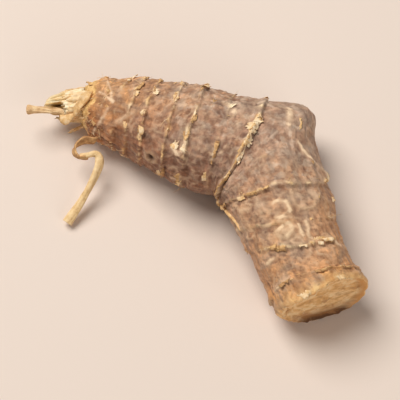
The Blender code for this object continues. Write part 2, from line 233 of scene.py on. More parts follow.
# Colours.
BARK_ALONG = (  # by share of the length
    (0.0, 0.66, 0.37, 0.155), (0.05, 0.58, 0.315, 0.155), (0.16, 0.55, 0.315, 0.185),
    (0.30, 0.50, 0.305, 0.20), (0.45, 0.43, 0.275, 0.205), (0.62, 0.41, 0.245, 0.165),
    (0.82, 0.48, 0.27, 0.155), (0.93, 0.66, 0.35, 0.15), (1.0, 0.72, 0.39, 0.14),
)
GREY, PALE_GREY = (0.39, 0.29, 0.235), (0.59, 0.475, 0.385)
RED_BROWN, ORANGE = (0.43, 0.22, 0.11), (0.54, 0.24, 0.085)
PAINTED_CREVICE_SHADE, DARK_SPECK, PIT = (0.16, 0.075, 0.047), (0.17, 0.085, 0.055), (0.06, 0.033, 0.022)
PALE_LINE, SCAR = (0.74, 0.51, 0.34), (0.60, 0.38, 0.22)
# Tint of the painted shade on the inner side of the long arm and of the bend.
PAINTED_SHADE_TINT = (0.62, 0.50, 0.46)
SAWN_BLOTCHES = (
    (0.34, 0.62, 0.33, 0.145), (0.44, 0.80, 0.45, 0.17), (0.52, 0.92, 0.58, 0.27),
    (0.62, 0.98, 0.68, 0.36), (0.72, 0.74, 0.51, 0.28),
)
CORE_CREAM = ((0.30, 0.52, 0.31, 0.12), (0.45, 0.84, 0.62, 0.31), (0.60, 1.0, 0.86, 0.58))
CORE_GOLDEN = ((0.30, 0.34, 0.17, 0.055), (0.46, 0.66, 0.40, 0.15), (0.64, 0.88, 0.64, 0.32))


def read_table(table, at):
    """Rows of a table at fractional row numbers, on a Catmull-Rom curve through its rows."""
    last = len(table) - 1
    at = np.clip(at, 0, last - 1e-6)
    first = at.astype(int)
    share = (at - first)[..., None]
    before, start, end, after = (table[np.clip(first + step, 0, last)] for step in (-1, 0, 1, 2))
    cubic = 3 * (start - end) + after - before
    square = 2 * before - 5 * start + 4 * end - after
    return start + 0.5 * share * (end - before + share * (square + share * cubic))


def middles(rows):
    """Middle points of stations, or of rows read between them."""
    return np.stack([(rows[..., 0] + rows[..., 2]) / 2, (rows[..., 1] + rows[..., 3]) / 2, rows[..., 4]], -1)


def unit(vectors):
    return vectors / np.maximum(np.linalg.norm(vectors, axis=-1, keepdims=True), 1e-12)


ROUTE_ROWS = np.linspace(0, len(STATIONS) - 1, 400)
ROUTE = middles(read_table(STATIONS, ROUTE_ROWS))
ROUTE_LENGTHS = np.concatenate([[0], np.cumsum(np.linalg.norm(np.diff(ROUTE, axis=0), axis=1))])
LENGTH = ROUTE_LENGTHS[-1]
RADIUS = STATIONS[:, 5].mean()
START_DIRECTION = unit(ROUTE[8] - ROUTE[0])
END_DIRECTION = unit(ROUTE[-1] - ROUTE[-9])
RING_EDGES = np.array([0, *(place for place, _ in RINGS), LENGTH])
CORE_LENGTH = TORN_ROWS[-1][0]


def section(along, turn, spread):
    """(points, outward directions) of smooth bark at distances, angles and shares of the section's size."""
    row = read_table(STATIONS, np.interp(along, ROUTE_LENGTHS, ROUTE_ROWS))
    middle = middles(row) + np.minimum(along, 0)[..., None] * START_DIRECTION
    middle = middle + np.maximum(along - LENGTH, 0)[..., None] * END_DIRECTION
    half_across = np.stack([(row[..., 2] - row[..., 0]) / 2, (row[..., 3] - row[..., 1]) / 2, 0 * along], -1)
    half_up = np.stack([0 * along, 0 * along, row[..., 5]], -1)
    across, up = np.cos(turn)[..., None], np.sin(turn)[..., None]
    oval = np.sign(across) * abs(across) ** OVAL_POWER * half_across
    oval = oval + np.sign(up) * abs(up) ** OVAL_POWER * half_up
    outward = across * half_across / (half_across**2).sum(-1, keepdims=True)
    outward = outward + up * half_up / (half_up**2).sum(-1, keepdims=True)
    return middle + spread[..., None] * oval, unit(outward)


def smooth_noise(places, seed):
    """Noise of about -1 to 1 that changes over a distance of 1."""
    flat = places.reshape(-1, 3) + seed
    return np.array([noise.noise(Vector(place)) for place in flat]).reshape(places.shape[:-1])


def noise_at(x, y, z, seed=0):
    """The same from separate coordinates."""
    return smooth_noise(np.stack(np.broadcast_arrays(x, y, z), -1), seed)


def log_places(along, turn, breadth, length):
    """Places on a straight log as thick as the rhizome."""
    radius = RADIUS / breadth
    return np.stack([radius * np.cos(turn), radius * np.sin(turn), along / length], -1)


def log_noise(along, turn, breadth, length, seed):
    """Noise on a straight log, with features of this breadth and length."""
    return smooth_noise(log_places(along, turn, breadth, length), seed)


def round_noise(turn, breadth, seed):
    """Noise that changes only round the log."""
    return log_noise(0 * turn, turn, breadth, 1, seed)


def folds(along, turn, breadth, length, seed):
    """Sharp folds on a straight log."""
    return 0.5 - 2 * abs(log_noise(along, turn, breadth, length, seed))


def bent(places, shift, size, seeds):
    """Places moved a little, so that what is read there is wavy."""
    return places + shift * np.stack([smooth_noise(places / size, seed) for seed in seeds], -1)


def bell(values, middle, width):
    return np.exp(-(((values - middle) / width) ** 2))


def strayed(along, turn, spread):
    """Distances moved a little, so that rings are wavy and lean, and the sawn face slants."""
    shift, breadth, length = RING_WANDER
    distances, top, far = np.array(RING_LEAN).T
    lean = np.interp(along, distances, top) * np.sin(turn) + np.interp(along, distances, far) * np.cos(turn)
    lean = lean + shift * log_noise(along, turn, breadth, length, 31)
    near_end = np.minimum(along, LENGTH - along)
    lean = lean * np.clip(near_end / RING_STRAIGHTENING, 0, 1) ** 2 * spread**4
    slant = SAW_SLANT * (spread * np.sin(turn) - 1) / 2
    return along + lean + slant * np.clip(1 - along / SAW_SLANT_LENGTH, 0, 1)


def lips(along, turn):
    """Raised lips of the ring scars, higher in some places than in others."""
    lift = 0 * along
    for number, (place, height) in enumerate(RINGS):
        ahead = along - place
        width = np.where(ahead < 0, LIP_BEFORE, LIP_BEHIND)
        left = 0.75 + 0.6 * round_noise(turn, LIP_BREADTH, 7 * number + 0.3)
        lift += height * left * np.exp(-((ahead / width) ** 2))
    return lift


def swelling(along):
    """The bark dips towards each ring."""
    after = np.clip(np.searchsorted(RING_EDGES, along), 1, len(RING_EDGES) - 1)
    start, end = RING_EDGES[after - 1], RING_EDGES[after]
    return SWELLING * (np.sin(math.pi * np.clip((along - start) / (end - start), 0, 1)) - 1)


def surface_point(along, degrees):
    """(point, outward direction) of smooth bark."""
    return section(np.array(along), np.array(math.radians(degrees)), np.array(1.0))


def scars(places):
    """(raised rims, pits) where roots were."""
    rims, pits = np.zeros(places.shape[:-1]), np.zeros(places.shape[:-1])
    for along, degrees, radius in ROOT_SCARS:
        out = np.linalg.norm(places - surface_point(along, degrees)[0], axis=-1) / radius
        rims += bell(out, 1, 0.35)
        pits += bell(out, 0, 0.6)
    return rims, pits


def collar(along, turn, spread):
    """How far a point is drawn out past the sawn face."""
    height = np.interp(np.degrees(turn) % 360, *np.array(COLLAR).T)
    rough = COLLAR_ROUGHNESS * (0.15 + np.minimum(height, 1))
    height = height + rough * (round_noise(turn, 1.3, 200) + 0.6 * round_noise(turn, 0.45, 201))
    height = height * np.exp(-((np.maximum(along, 0) / COLLAR_LENGTH) ** 2))
    return height * np.clip((spread - COLLAR_INSIDE) / COLLAR_WALL, 0, 1)


def jag(number, turn):
    """How far a ring's thin crest strays from its place round the rhizome."""
    return sum(shift * round_noise(turn, breadth, number + seed) for shift, breadth, seed in JAGS)


def presence(number, turn):
    """How much of a ring's thin crest is left round the rhizome, 0 to about 1."""
    broken = round_noise(turn, 0.7, 5 * number + 0.2)
    left = np.clip(0.25 + 0.75 * round_noise(turn, 2.4, 3 * number + 0.7) + 0.4 * broken, 0, 0.9)
    degrees = np.degrees(turn) % 360
    for ring, start, end, strength in SHOWN:
        if ring == number:
            whole = np.clip(np.minimum(degrees - start, end - degrees) / SHOWN_FADE, 0, 1)
            left = np.maximum(left, strength * whole * np.clip(0.7 + 1.2 * broken, 0, 1))
    return left


def crests(along, turn):
    """(lift, paleness) of the torn edges of the sheaths on the rings, and of faint rings between them."""
    height, width, crease = CREST
    lift, pale = 0 * along, 0 * along
    faint = [(place, FAINT_STRENGTH) for place in FAINT_RINGS]
    for number, (place, strength) in enumerate((*RINGS, *faint)):
        near = abs(along - place) < CREST_REACH
        round_it = turn[near]
        ahead = along[near] - place - jag(number, round_it)
        left = presence(number, round_it) * min(1, strength * 2.2)
        if number >= len(RINGS):
            left = np.clip(2 * left - 0.2, 0, 1) * 0.45
        slope = np.where(ahead > 0, CREST_SLOPE, width / 2)
        edge = left * np.exp(-((ahead / slope) ** 2))
        broad = width * np.clip(1.0 + 1.9 * round_noise(round_it, 0.9, number + 130), 0.4, 3)
        worn = np.clip(0.65 + 1.5 * log_noise(ahead, round_it, 0.55, 0.5, number + 190), 0.05, 1)
        crest = left * worn * bell(ahead, 0.4 * broad, broad)
        comb = np.clip(0.3 + 1.9 * log_noise(along[near], round_it, 0.28, 2.0, number + 150), 0, 1)
        patch = np.clip(0.1 + 1.6 * round_noise(round_it, 1.8, number + 170), 0, 1)
        fray = left * comb * patch * np.exp(-np.abs(ahead) / FRAY_LENGTH) * (ahead > 0)
        gap = left * bell(ahead, CREASE_PLACE, CREASE_WIDTH)
        lift[near] += height * edge + CREST_LIFT * crest + FRAY_LIFT * fray - crease * gap
        pale[near] += crest + 0.9 * fray
    return lift, pale


def mark_paleness(places):
    """1 on the pale lines, fading to 0 beside them."""
    shaken = bent(places, *MARK_BEND)
    broken = np.clip(0.85 + 0.8 * smooth_noise(places / 1.0, 17), 0.15, 1)
    pale = np.zeros(places.shape[:-1])
    for strength, breadth, line in MARKS:
        line = read_table(np.array(line, float), np.linspace(0, len(line) - 1, 6 * len(line)))
        turns, whole = np.radians(line[:, 1]), np.ones(len(line))
        route = section(strayed(line[:, 0], turns, whole), turns, whole)[0]
        near = (np.abs(shaken - (route.max(0) + route.min(0)) / 2) < np.ptp(route, axis=0) / 2 + 2).all(-1)
        close = np.full(near.sum(), np.inf)
        for start, end in zip(route[:-1], route[1:]):
            span = end - start
            share = np.clip((shaken[near] - start) @ span / max(span @ span, 1e-9), 0, 1)
            close = np.minimum(close, np.linalg.norm(shaken[near] - start - share[:, None] * span, axis=-1))
        pale[near] = np.maximum(pale[near], strength * np.exp(-((close / breadth) ** 4)))
    return pale * broken


def rust(along, turn):
    """Where the bark is orange-brown."""
    degrees = (np.degrees(turn) + 90) % 360 - 90
    reach = np.zeros(along.shape)
    for strength, middle, half_length, angle, half_angle in RUST:
        away = ((along - middle) / half_length) ** 2 + ((degrees - angle) / half_angle) ** 2
        reach = np.maximum(reach, strength * np.exp(-(away**2)))
    return reach * np.clip(0.8 + 0.8 * log_noise(along, turn, 1.6, 3.0, 64), 0, 1)


def painted_inner_shade(along, turn, bare):
    """How much painted shade darkens the inner side of the long arm and of the bend."""
    reach = np.maximum(np.clip((along - 20) / 8, 0, 1), 0.6 * bell(along, 18.5, 4.5))
    return np.clip(0.15 - 1.1 * np.cos(turn), 0, 1) * reach * (1 - bare)


def net_lines(smooth, wavy, along, turn):
    """Raised lines of a net on the bark, weaker on the underside."""
    lines = 0 * along
    for size, breadth, strength in NET:
        line = np.clip(1 - abs(smooth_noise(wavy / size, size)) / breadth, 0, 1)
        where = np.clip(0.45 + 1.5 * smooth_noise(smooth / NET_PATCHES, size + 25), 0, 1)
        lines = np.maximum(lines, strength * line * where)
    return lines * np.interp(along, *np.array(NET_STRENGTH).T) * np.clip(0.75 + 0.6 * np.sin(turn), 0.4, 1)


def peeling(smooth, wavy):
    """1 where the outermost skin is left, 0 where it has peeled."""
    peel = smooth_noise(wavy / 1.2, 60) + 0.5 * smooth_noise(smooth / 0.5, 61)
    return np.clip((peel + 0.35 * smooth_noise(smooth / 4.0, 62) - 0.06) / 0.12, 0, 1)


def fine_relief(smooth, place, along, turn):
    """Folds along the bark and across it, and its grain."""
    fine = sum(height * folds(place, turn, *shape) for height, *shape in FINE_FOLDS)
    height, *shape = CROSS_FOLDS
    coarse, small = GRAIN_SIZES
    grain = smooth_noise(smooth / coarse, 43) + 0.5 * smooth_noise(smooth / small, 44)
    return fine + height * folds(along, turn, *shape) + GRAIN_HEIGHT * grain


def bare_edge(along, turn):
    """Where the bark ends raggedly before the torn end."""
    edge = BARE_FROM - BARE_LATER * np.minimum(np.cos(turn), 0) + 0.7 * round_noise(turn, 1.3, 210)
    return edge + 0.5 * log_noise(along, turn, 0.35, 1.5, 211)


def core_relief(along, turn, spread, core):
    """(relief, the hollow in the tip, which the material paints with shade) of the torn core. core is 0 at
    the torn end and 1 at the point.
    """
    groove, *shape = CORE_GROOVES
    grooves = groove * core * (1 - core) * log_noise(along, turn, *shape, 12)
    split, *shape = CORE_SPLITS
    splits = folds(along, turn, *shape)
    block, *shape = CORE_BLOCKS
    blocks = np.floor(CORE_STEPS * log_noise(along, turn, *shape)) / CORE_STEPS
    inside = np.clip(9 * core * (1 - core), 0, 1) * (spread > 0)
    grooves += (split * splits + block * blocks * spread) * inside
    distance, degrees, reach, depth = TIP_HOLLOW
    aside = (turn - math.radians(degrees)) * RADIUS * 0.45
    hollow = np.exp(-(((along - LENGTH - distance) / reach) ** 2) - (aside / reach) ** 2)
    return grooves - depth * hollow, hollow


def face_depth(smooth, turn, spread):
    """How deep the sawn face lies inside its rim, with a groove inside the lumpy rim and marks of the saw."""
    depth, middle, breadth = FACE_GROOVE
    hollow = FACE_HOLLOW * np.clip(1 - spread**3, 0, 1) + depth * bell(spread, middle, breadth)
    height, middle, breadth = FACE_RIM
    lumpy = np.clip(0.7 + 1.3 * round_noise(turn, 1.1, 202), 0.1, 1.5)
    hollow -= height * lumpy * bell(spread, middle, breadth)
    saw_marks = 0.05 * smooth_noise(smooth * (0.5, 0.5, 5.0), 46) + 0.07 * smooth_noise(smooth / 0.7, 47)
    return hollow + saw_marks * np.clip(8 * (1 - spread), 0, 1)


def skin(along, turn, spread):
    """(points in millimetres, outward directions, attributes for the materials) of the fine surface."""
    place = strayed(along, turn, spread)
    core = np.clip((along - LENGTH) / CORE_LENGTH, 0, 1)
    missing = CORE_HOLLOW * np.clip(np.cos(turn - math.radians(CORE_HOLLOW_ANGLE)), 0, 1) * np.sqrt(core)
    smooth, outward = section(place, turn, spread * (1 - missing))
    wavy = bent(smooth, *NET_BEND)
    rims, pits = scars(smooth)
    relief = lips(along, turn) + swelling(along) + SCAR_RIM * rims - SCAR_PIT * pits
    relief += sum(height * smooth_noise(smooth / size, size) for height, size in LUMPS)
    wrinkle, breadth, length = WRINKLES
    relief += wrinkle * folds(place, turn, breadth, length, 3)

    curl, peel = net_lines(smooth, wavy, along, turn), peeling(smooth, wavy)
    fine, mark = fine_relief(smooth, place, along, turn), mark_paleness(smooth)
    ring_lift, ring = crests(along, turn)
    relief += fine + ring_lift + CURL_HEIGHT * curl + MARK_HEIGHT * mark + PEEL_HEIGHT * peel
    edge = bare_edge(along, turn)
    bare = np.clip((along - edge) / 0.15, 0, 1)
    relief -= BARE_STEP * bare - BARE_STEP / 2 * bell(along, edge - 0.2, 0.25)

    grooves, hollow = core_relief(along, turn, spread, core)
    points = smooth + (relief * spread**4 + grooves)[..., None] * outward
    points[..., 1] += CORE_LEAN * core
    sawn = np.clip(1 - along, 0, 1) * (spread < 0.99)
    points += (sawn * face_depth(smooth, turn, spread))[..., None] * START_DIRECTION
    points += collar(along, turn, spread)[..., None] * (COLLAR_FLARE * outward - START_DIRECTION)
    points[..., 2] = np.maximum(points[..., 2], 0)
    near_face = bell(along, 0, 0.6) * (0.9 + 0.7 * log_noise(along, turn, 0.6, 0.6, 48))
    attributes = {
        "ring": np.clip(ring, 0, 1), "mark": mark, "curl": curl, "fine": np.clip(0.5 + 2.6 * fine, 0, 1),
        "scar": np.clip(rims, 0, 1), "pit": np.clip(pits, 0, 1), "distance": along, "spread": spread,
        "bare": bare, "peel": peel, "rust": rust(along, turn), "painted_shade": painted_inner_shade(along, turn, bare),
        "hollow": hollow, "collar": np.clip(near_face, 0, 1), "log": log_places(place, turn, 1.0, 1.0),
    }
    return points, outward, attributes


def add_object(name, data):
    made = bpy.data.objects.new(name, data)
    bpy.context.scene.collection.objects.link(made)
    return made


def make_object(name, points, faces, materials, attributes, kinds=None):
    """A smooth-shaded piece from points in millimetres, which rides on the part."""
    mesh = bpy.data.meshes.new(name)
    mesh.from_pydata((np.asarray(points) * MM).tolist(), [], faces)
    for key, values in attributes.items():
        vector = values.ndim == 2
        layer = mesh.attributes.new(key, "FLOAT_VECTOR" if vector else "FLOAT", "POINT")
        flat = np.ascontiguousarray(values, np.float32).ravel()
        layer.data.foreach_set("vector" if vector else "value", flat)
    for material in materials:
        mesh.materials.append(material)
    if kinds is not None:
        mesh.polygons.foreach_set("material_index", np.asarray(kinds, np.int32))
    mesh.shade_smooth()
    piece = add_object(name, mesh)
    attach(piece, "root")
    return piece


def capped_faces(rows, sides):
    """Faces, row by row, of a tube of that many rows with a single point at each end."""
    here = 1 + np.arange((rows - 2) * sides).reshape(-1, sides)
    after = np.roll(here, -1, axis=1)
    start = np.stack([0 * here[0], here[0], after[0]], -1)
    quads = np.stack([here[:-1], here[1:], after[1:], after[:-1]], -1).reshape(-1, 4)
    end = np.stack([0 * here[-1] + here[-1, -1] + 1, after[-1], here[-1]], -1)
    return start.tolist() + quads.tolist() + end.tolist()


def joined_ends(grid):
    """A grid's values as a list, its first and last rows as one value each."""
    return np.concatenate([grid[0, :1], grid[1:-1].reshape(-1, *grid.shape[2:]), grid[-1, :1]])


def fine_rows():
    """(distances, shares of the section's size, kinds) of the skin's rows."""
    face = [(0, share, SAWN_KIND) for share in np.linspace(0, FACE_SHARE, FACE_ROWS)]
    rim = [
        (EDGE_ROUNDING * share**2, FACE_SHARE + (1 - FACE_SHARE) * math.sin(share * math.pi / 2), BARK_KIND)
        for share in np.linspace(0.2, 1, RIM_ROWS)
    ]
    bark = [(place, 1, BARK_KIND) for place in np.arange(0.4, LENGTH, ROW_GAP)]
    steps = np.array([(0, 1), *TORN_ROWS], float)
    rows = np.linspace(0, len(TORN_ROWS), CORE_ROWS)[1:]
    away, shares = (np.interp(rows, range(len(steps)), column) for column in steps.T)
    core = [(LENGTH + step, share, CORE_KIND) for step, share in zip(away, shares)]
    return np.array(face + rim + bark + core).T


def tube_grid(route, radii, sides, relief):
    """Rows of points round a route. relief is a share of the radius, for each row and side."""
    onward = unit(np.gradient(route, axis=0))
    side = unit(np.cross(onward[0], (0.3, 0.2, 1.0)))
    rows = []
    turns = np.linspace(0, 2 * math.pi, sides, endpoint=False)
    for point, ahead, reach in zip(route, onward, np.asarray(radii)[:, None] * (1 + relief)):
        side = unit(side - (side @ ahead) * ahead)
        other = np.cross(ahead, side)
        rows.append(point + reach[:, None] * (np.cos(turns)[:, None] * side + np.sin(turns)[:, None] * other))
    grid = np.array(rows)
    ends = [np.broadcast_to(route[end], grid[:1].shape) for end in (0, -1)]
    return np.concatenate([ends[0], grid, ends[1]])


class Heap:
    """Many small closed shapes, gathered for one mesh."""

    def __init__(self):
        self.points, self.faces, self.shades, self.count = [], [], [], 0

    def add(self, points, faces, shade):
        self.points.append(points)
        self.faces += [tuple(self.count + corner for corner in face) for face in faces]
        self.shades.append(np.full(len(points), shade))
        self.count += len(points)

    def tube(self, route, radii, sides, shade):
        grid = tube_grid(route, radii, sides, np.zeros((len(route), sides)))
        self.add(joined_ends(grid), capped_faces(len(grid), sides), shade)

    def sheet(self, grid, thickness, shade):
        """A closed thin sheet on a grid of points."""
        rows, columns = grid.shape[:2]
        normal = unit(np.cross(np.gradient(grid, axis=0), np.gradient(grid, axis=1)))
        both = [(grid + side * normal * thickness / 2).reshape(-1, 3) for side in (1, -1)]
        index = np.arange(rows * columns).reshape(rows, columns)
        top = np.stack([index[:-1, :-1], index[1:, :-1], index[1:, 1:], index[:-1, 1:]], -1).reshape(-1, 4)
        rim = np.concatenate([index[0, :-1], index[:-1, -1], index[-1, :0:-1], index[:0:-1, 0]])
        after = np.roll(rim, -1)
        low = rows * columns
        edge = np.stack([rim, after, after + low, rim + low], -1)
        faces = np.concatenate([top, top[:, ::-1] + low, edge])
        self.add(np.concatenate(both), faces.tolist(), shade)

    def piece(self, name, material):
        shades = {"shade": np.concatenate(self.shades)}
        make_object(name, np.concatenate(self.points), self.faces, [material], shades)


class Paint:
    """A material whose colour is laid on in coats. Its place is in millimetres."""

    def __init__(self, name):
        self.material = bpy.data.materials.new(name)
        self.material.use_nodes = True
        self.tree = self.material.node_tree
        self.shader = self.tree.nodes["Principled BSDF"]
        self.shader.inputs["Specular IOR Level"].default_value = 0.28
        position = self.node("TexCoord").outputs["Object"]
        self.place = self.node("VectorMath", {0: position, "Scale": 1 / MM}, operation="SCALE").outputs[0]
        self.colour = None

    def put(self, socket, value):
        if isinstance(value, bpy.types.NodeSocket):
            self.tree.links.new(value, socket)
        else:
            socket.default_value = value

    def node(self, kind, inputs=None, **settings):
        made = self.tree.nodes.new("ShaderNode" + kind)
        for key, value in settings.items():
            setattr(made, key, value)
        for key, value in (inputs or {}).items():
            self.put(made.inputs[key], value)
        return made

    def attribute(self, name, output="Fac"):
        return self.node("Attribute", attribute_name=name).outputs[output]

    def ranged(self, value, low, high, to_low=0.0, to_high=1.0):
        inputs = {"Value": value, "From Min": low, "From Max": high, "To Min": to_low, "To Max": to_high}
        return self.node("MapRange", inputs).outputs[0]

    def sum(self, first, second):
        return self.node("Math", {0: first, 1: second}, operation="ADD").outputs[0]

    def times(self, first, second):
        return self.node("Math", {0: first, 1: second}, operation="MULTIPLY").outputs[0]

    def stretched(self, place, *factors):
        return self.node("VectorMath", {0: place, 1: factors}, operation="MULTIPLY").outputs[0]

    def grain(self, place, size, detail=3.0, roughness=0.55, distortion=0.0):
        """Noise with features of a size in the unit of the place."""
        return self.node("TexNoise", {
            "Vector": place, "Scale": 1 / size, "Detail": detail, "Roughness": roughness,
            "Distortion": distortion,
        }).outputs[0]

    def ramp(self, value, *stops):
        made = self.node("ValToRGB", {"Fac": value})
        elements = made.color_ramp.elements
        for element, (position, *colour) in zip(elements, (stops[0], stops[-1])):
            element.position, element.color = position, (*colour, 1)
        for position, *colour in stops[1:-1]:
            elements.new(position).color = (*colour, 1)
        return made.outputs[0]

    def coat(self, share, colour, blend="MIX"):
        """Lays a colour over what is there, by a share of 0 to 1."""
        colour = (*colour, 1) if isinstance(colour, tuple) else colour
        mixed = self.node("Mix", {0: share, 6: self.colour, 7: colour}, data_type="RGBA", blend_type=blend)
        self.colour = mixed.outputs[2]

    def tint(self, colour):
        self.coat(1.0, colour, "MULTIPLY")

    def finish(self, roughness, bumps, depth):
        """The material, with its roughness and with bumps of a depth in millimetres."""
        self.put(self.shader.inputs["Base Color"], self.colour)
        self.put(self.shader.inputs["Roughness"], roughness)
        bump = self.node("Bump", {"Height": bumps, "Distance": depth * MM, "Strength": 1.0})
        self.put(self.shader.inputs["Normal"], bump.outputs[0])
        return self.material


def bark_material():
    """Mauve-brown bark, golden at both ends, with painted shade in its crevices, pale lines, orange and grey
    places.
    """
    paint = Paint("bark")
    place, attribute, grain, ramp = paint.place, paint.attribute, paint.grain, paint.ramp
    ranged, times = paint.ranged, paint.times
    distance = ranged(attribute("distance"), 0.0, LENGTH)
    region = paint.sum(distance, ranged(grain(place, 9.0, 2.0), 0.3, 0.7, -0.05, 0.05))
    paint.colour = ramp(region, *BARK_ALONG)
    patches = grain(place, 4.2, 4.0, 0.6, 0.6)
    greyer = times(ranged(patches, 0.49, 0.64, 0, 0.75), ranged(distance, 0.98, 0.82, 0.25, 1.0))
    paint.coat(greyer, GREY)
    paint.coat(ranged(patches, 0.46, 0.30, 0, 0.5), RED_BROWN)
    mottle = grain(place, 1.5, 4.0, 0.65, 0.9)
    paint.tint(ramp(mottle, (0.32, 0.64, 0.57, 0.54), (0.50, 0.98, 0.97, 0.95), (0.70, 1.34, 1.32, 1.28)))
    dots = ranged(grain(place, 1.3, 2.0, 0.5, 0.5), 0.50, 0.64, 0, 0.65)
    middle = times(ranged(distance, 0.22, 0.36), ranged(distance, 0.86, 0.66))
    paint.coat(times(dots, middle), PALE_GREY)
    paint.tint(ramp(attribute("peel"), (0.0, 0.84, 0.80, 0.78), (1.0, 1.20, 1.17, 1.13)))
    paint.coat(times(attribute("rust"), 0.75), ORANGE)
    # Painted shade on the inner side of the long arm and of the bend.
    paint.coat(attribute("painted_shade"), PAINTED_SHADE_TINT, "MULTIPLY")
    streaks = grain(paint.stretched(attribute("log", "Vector"), 1.0, 1.0, 0.2), 0.6, 3.0, 0.6)
    paint.tint(ramp(streaks, (0.3, 0.78, 0.76, 0.74), (0.7, 1.18, 1.17, 1.16)))

    fine, mark = attribute("fine"), attribute("mark")
    speckle = grain(place, 0.62, 3.0, 0.65)
    # Painted shade in the crevices, where the fine relief is low.
    paint.coat(ranged(fine, 0.42, 0.08, 0, 0.7), PAINTED_CREVICE_SHADE)
    fold = times(ranged(fine, 0.55, 0.95), ranged(speckle, 0.40, 0.62))
    paint.coat(times(fold, 0.75), PALE_LINE)
    paint.coat(ranged(speckle, 0.41, 0.30, 0, 0.5), DARK_SPECK)
    paint.coat(times(attribute("curl"), ranged(speckle, 0.34, 0.50, 0.30, 0.92)), PALE_LINE)
    line = times(mark, ranged(speckle, 0.33, 0.48, 0.55, 1.0))
    paint.coat(line, ramp(mark, (0.3, 0.70, 0.45, 0.28), (0.9, 0.94, 0.70, 0.48)))
    ring = times(attribute("ring"), ranged(speckle, 0.33, 0.5, 0.7, 1.6))
    paint.coat(ring, ramp(patches, (0.38, 0.80, 0.47, 0.19), (0.56, 1.0, 0.77, 0.49)))
    golden = ramp(speckle, (0.35, 0.56, 0.29, 0.09), (0.60, 0.88, 0.59, 0.25))
    paint.coat(attribute("bare"), golden)
    edge = times(attribute("collar"), ranged(speckle, 0.30, 0.45, 0.5, 1.0))
    paint.coat(edge, ramp(mottle, (0.38, 0.84, 0.44, 0.17), (0.60, 1.0, 0.68, 0.34)))
    paint.coat(times(attribute("scar"), 0.5), SCAR)
    paint.coat(times(attribute("pit"), 0.85), PIT)
    paint.tint(ramp(distance, (0.25, 1.0, 0.975, 0.89), (0.42, 1.0, 0.99, 0.955)))
    paint.shader.inputs["Sheen Weight"].default_value = 0.12
    paint.shader.inputs["Sheen Roughness"].default_value = 0.5
    return paint.finish(ranged(speckle, 0.3, 0.7, 0.85, 0.62), grain(place, 0.22, 4.0, 0.7), 0.07)


def sawn_material():
    """Golden and starchy, drawn out by the saw along the face, with a pale upper rim, and painted shade
    darkening the face towards its lower edge and along its lower rim.
    """
    paint = Paint("sawn")
    ranged, times, ramp = paint.ranged, paint.times, paint.ramp
    spread = paint.attribute("spread")
    side = paint.node("SeparateXYZ", {0: paint.attribute("log", "Vector")})
    turned = paint.node("Mapping", {
        "Vector": paint.place, "Rotation": (0, 0, -FACE_TURN), "Scale": (0.45, 1.0, 0.8),
    }).outputs[0]
    blotches = paint.grain(turned, 1.6, 3.0, 0.6, 0.8)
    strokes = paint.grain(turned, 0.7, 3.0, 0.6, 0.6)
    fibres = paint.grain(paint.place, 0.32, 3.0, 0.7)
    across, height = (times(side.outputs[axis], spread) for axis in (0, 1))
    paint.colour = ramp(blotches, *SAWN_BLOTCHES)
    paint.coat(ranged(strokes, 0.46, 0.34, 0, 0.55), (0.50, 0.22, 0.065))
    paint.coat(ranged(strokes, 0.55, 0.66, 0, 0.7), (1.0, 0.76, 0.45))
    paint.coat(ranged(fibres, 0.42, 0.28, 0, 0.4), (0.34, 0.15, 0.05))
    # Painted shade, darker towards the face's lower edge.
    paint.coat(ranged(height, -2.4, -4.0, 0, 0.45), (0.44, 0.22, 0.12))
    # Painted shade along the lower rim.
    low = times(ranged(height, -4.0, -4.9), ranged(across, -4.6, -2.6))
    paint.coat(times(low, ranged(strokes, 0.36, 0.50, 0.35, 0.95)), (0.13, 0.05, 0.018))
    # Painted shade in the groove inside the rim.
    groove = times(ranged(spread, 0.72, 0.79), ranged(spread, 0.88, 0.83))
    paint.coat(times(groove, ranged(blotches, 0.60, 0.42, 0.1, 0.75)), (0.42, 0.19, 0.065))
    high = times(ranged(side.outputs[1], -3.0, 1.0), ranged(spread, 0.83, 0.90))
    paint.coat(times(high, 0.85), ramp(fibres, (0.38, 0.90, 0.50, 0.20), (0.60, 1.0, 0.78, 0.47)))
    far = times(ranged(across, 2.8, 4.8), ranged(spread, 0.80, 0.90))
    paint.coat(times(far, 0.8), (0.66, 0.29, 0.075))
    return paint.finish(ranged(fibres, 0.3, 0.7, 0.95, 0.75), paint.sum(strokes, fibres), 0.12)


def core_material():
    """Torn strands, cream on top and golden at the sides, the cream partly their own colour and partly a
    painted highlight on the top, with painted shade in the hollow near the tip.
    """
    paint = Paint("torn_core")
    log = paint.attribute("log", "Vector")
    strands = paint.grain(paint.stretched(log, 1.0, 1.0, 0.16), 0.55, 4.0, 0.65)
    paint.colour = paint.ramp(strands, *CORE_GOLDEN)
    height = paint.node("SeparateXYZ", {0: log}).outputs[1]
    # Cream on top: partly the core's own pale colour, partly a painted highlight on its top.
    paint.coat(paint.ranged(height, 0.0, 4.0), paint.ramp(strands, *CORE_CREAM))
    paint.coat(paint.ranged(paint.attribute("spread"), 0.80, 0.90), (0.62, 0.37, 0.13))
    # Painted shade in the hollow near the tip, darkest at its deepest.
    hollow = paint.attribute("hollow")
    paint.coat(paint.ranged(hollow, 0.05, 0.45), (0.52, 0.29, 0.085))
    paint.coat(paint.ranged(hollow, 0.40, 0.90), (0.15, 0.07, 0.02))
    return paint.finish(0.8, strands, 0.12)


def shaded_material(name, low, middle, high, size):
    """Fibres or scales: each has its own shade between low and high, and grain of this size."""
    paint = Paint(name)
    spots = paint.grain(paint.place, size, 4.0, 0.65)
    shade = paint.sum(paint.attribute("shade"), paint.ranged(spots, 0.3, 0.7, -0.35, 0.35))
    paint.colour = paint.ramp(shade, (0.0, *low), (0.5, *middle), (1.0, *high))
    return paint.finish(0.78, spots, 0.05)


